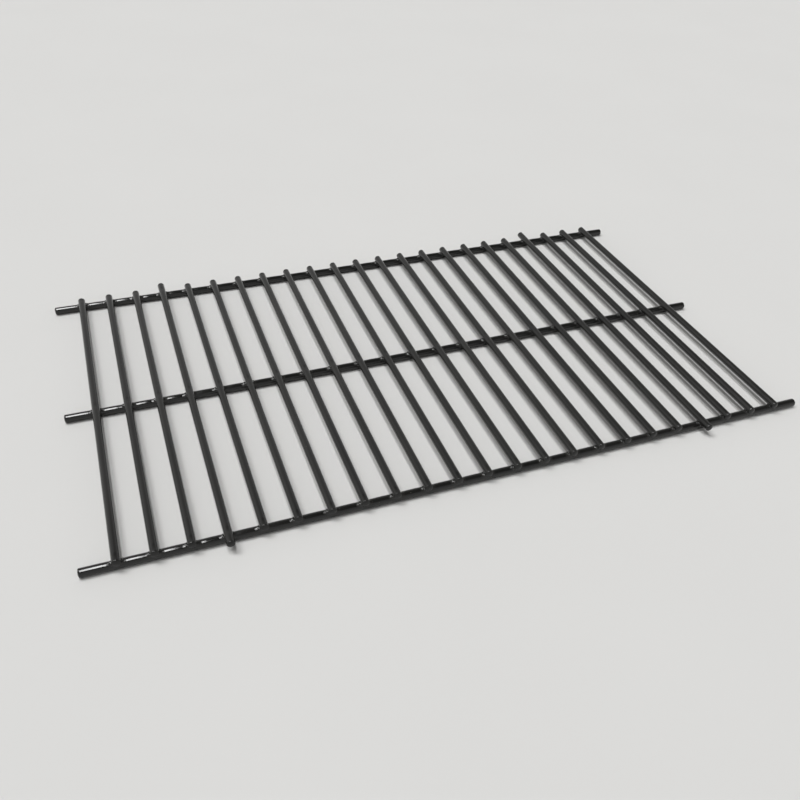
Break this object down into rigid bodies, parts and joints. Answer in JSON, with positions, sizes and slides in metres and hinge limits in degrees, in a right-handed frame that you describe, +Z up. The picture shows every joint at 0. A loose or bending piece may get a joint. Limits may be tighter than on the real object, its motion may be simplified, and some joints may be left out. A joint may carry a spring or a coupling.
{
  "type": "barbecue briquette rack",
  "caption": "Flat welded wire rack: parallel round bars on cross rods, carries briquettes over a gas barbecue's burner.",
  "frame": {"origin": "on the surface that the rack lies on, under the middle of the middle cross rod", "axes": "+X along the cross rods to the right, +Y along the bars to the rear, +Z up"},
  "size_m": [0.576, 0.334, 0.0111],
  "materials": {
    "enamelled_wire": "dark glossy enamel over steel wire"
  },
  "bodies": {
    "root": {"bar_01": "enamelled_wire", "bar_02": "enamelled_wire", "bar_03": "enamelled_wire", "bar_05": "enamelled_wire", "bar_06": "enamelled_wire", "bar_07": "enamelled_wire", "bar_08": "enamelled_wire", "bar_09": "enamelled_wire", "bar_10": "enamelled_wire", "bar_11": "enamelled_wire", "bar_12": "enamelled_wire", "bar_13": "enamelled_wire", "bar_14": "enamelled_wire", "bar_15": "enamelled_wire", "bar_16": "enamelled_wire", "bar_17": "enamelled_wire", "bar_18": "enamelled_wire", "bar_19": "enamelled_wire", "bar_21": "enamelled_wire", "bar_22": "enamelled_wire", "bar_23": "enamelled_wire", "cross_rod_front": "enamelled_wire", "cross_rod_middle": "enamelled_wire", "cross_rod_rear": "enamelled_wire", "long_bar_left": "enamelled_wire", "long_bar_right": "enamelled_wire"}
  },
  "joints": []
}
